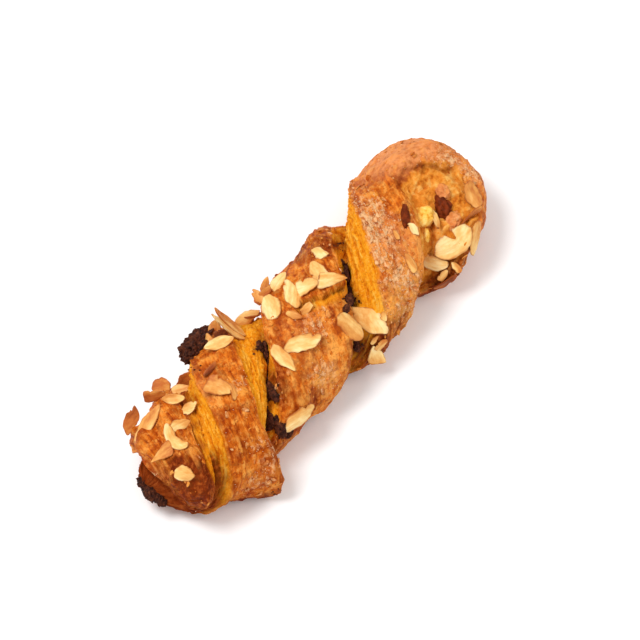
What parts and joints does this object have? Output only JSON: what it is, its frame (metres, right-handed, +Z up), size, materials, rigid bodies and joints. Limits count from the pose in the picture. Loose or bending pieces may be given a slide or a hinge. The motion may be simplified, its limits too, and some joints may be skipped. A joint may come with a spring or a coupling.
{
  "type": "almond twist pastry",
  "caption": "Baked pastry twist of laminated dough folded over a dark filling, with a round folded end, an open end and toasted almond flakes on top.",
  "frame": {"origin": "on the flat underside, below the twist's axis, near the middle of its length", "axes": "+X along the twist towards the folded end, +Y to the side away from the run-out corner, +Z up"},
  "size_m": [0.2148, 0.0746, 0.0434],
  "materials": {
    "dough": "baked crust, satin where it is glazed",
    "filling": "dark and crumbly"
  },
  "bodies": {
    "root": {"dough": "dough", "filling": "filling"}
  },
  "joints": []
}
